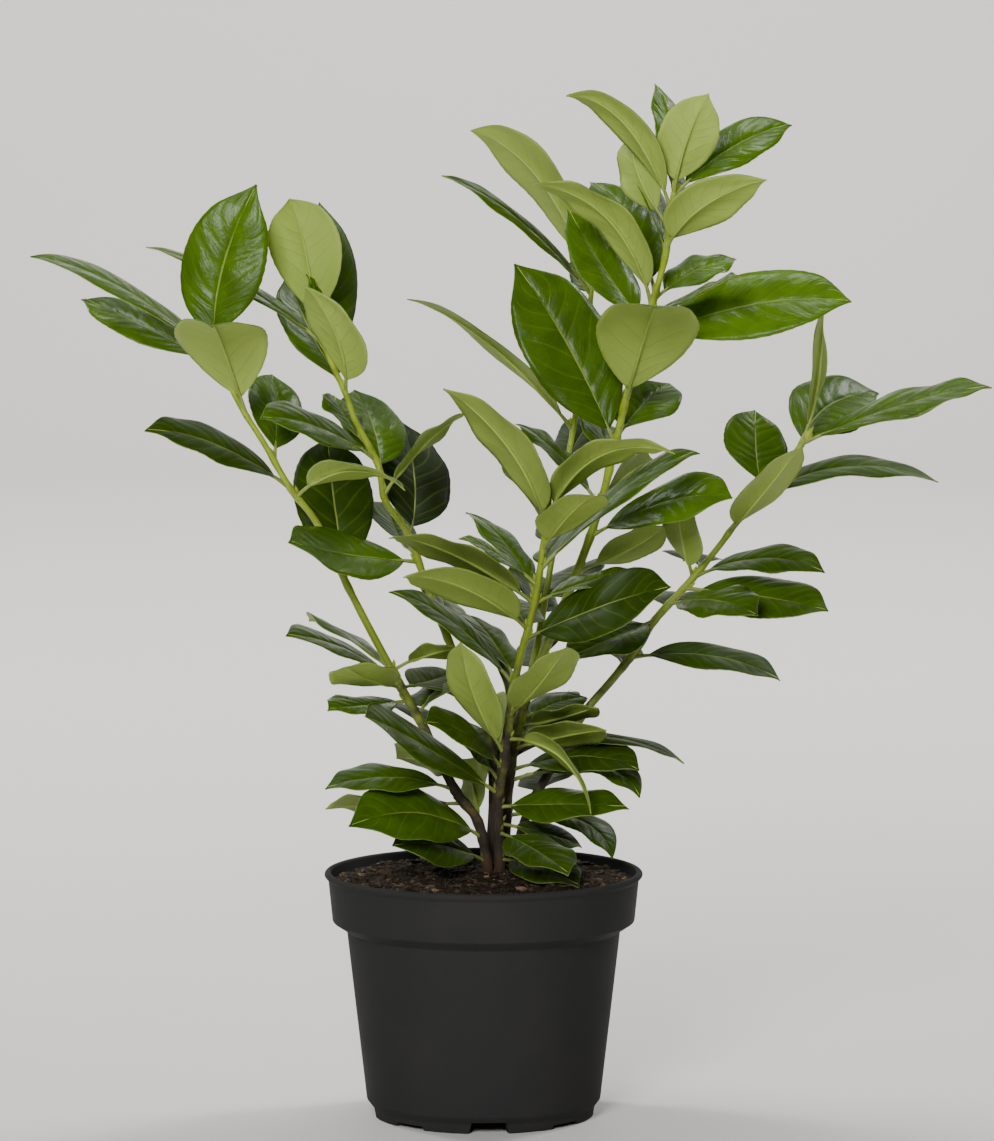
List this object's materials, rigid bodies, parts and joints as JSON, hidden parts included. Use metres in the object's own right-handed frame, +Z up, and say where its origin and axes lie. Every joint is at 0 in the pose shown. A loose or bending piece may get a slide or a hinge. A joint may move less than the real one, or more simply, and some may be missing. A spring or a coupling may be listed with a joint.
{
  "type": "potted cherry laurel",
  "caption": "Young cherry laurel shrub in a black plastic nursery pot: leafy branching shoots rising from dark potting mix.",
  "frame": {"origin": "on the floor, under the middle of the whole plant's box", "axes": "+Z up along the stems, +X to the right as the picture shows the plant, +Y away from the viewer"},
  "size_m": [0.567, 0.2459, 0.6162],
  "materials": {
    "pot_plastic": "satin black moulded polypropylene",
    "potting_mix": "rough, crumbly, dark brown peat and bark",
    "left_foliage": "glossy green upper sides, matt pale undersides",
    "inner_left_foliage": "glossy green upper sides, matt pale undersides",
    "front_foliage": "glossy green upper sides, matt pale undersides",
    "tall_foliage": "glossy green upper sides, matt pale undersides",
    "right_foliage": "glossy green upper sides, matt pale undersides"
  },
  "bodies": {
    "root": {"pot": "pot_plastic", "soil": "potting_mix", "left_shoot": "left_foliage", "inner_left_shoot": "inner_left_foliage", "front_shoot": "front_foliage", "tall_shoot": "tall_foliage", "right_shoot": "right_foliage"}
  },
  "joints": []
}
